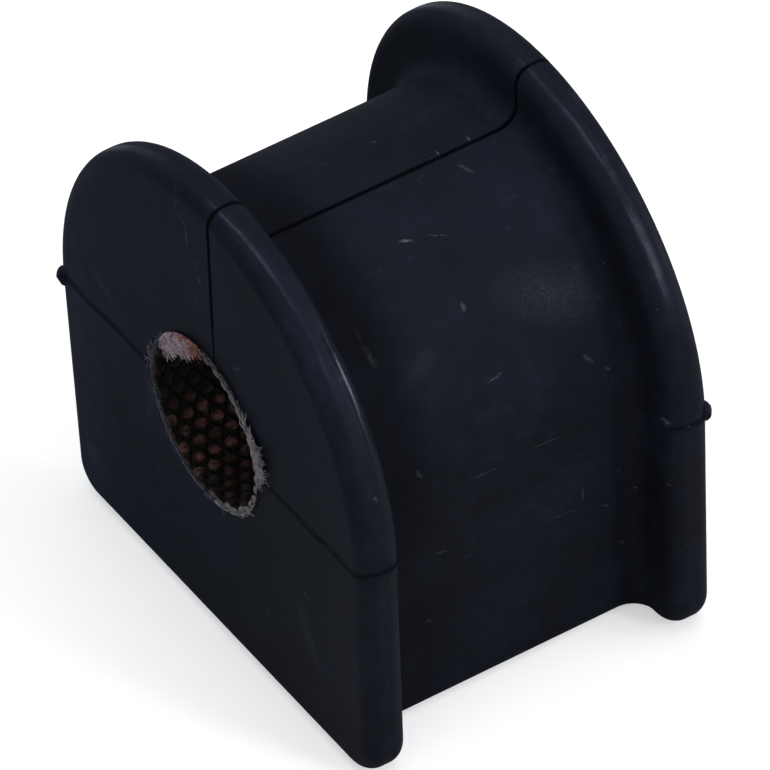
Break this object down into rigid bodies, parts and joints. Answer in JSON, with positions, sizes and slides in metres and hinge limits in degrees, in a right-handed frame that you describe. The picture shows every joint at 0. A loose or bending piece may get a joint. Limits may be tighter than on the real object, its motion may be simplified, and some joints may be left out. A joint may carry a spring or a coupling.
{
  "type": "sway bar bushing",
  "caption": "D-shaped split rubber bushing with end flanges, a strap seat between them and a fabric-lined bore that holds a round bar.",
  "frame": {"origin": "middle of the bore: on its axis, half-way between the flanges' outer faces", "axes": "+Y along the bore, +Z away from the flat base through the top of the arch, +X across"},
  "size_m": [0.071, 0.0518, 0.0714],
  "materials": {
    "rubber": "satin moulded",
    "liner_fabric": "coarse plain weave, worn"
  },
  "bodies": {
    "root": {"rubber_bushing": "rubber", "bore_liner": "liner_fabric"}
  },
  "joints": []
}
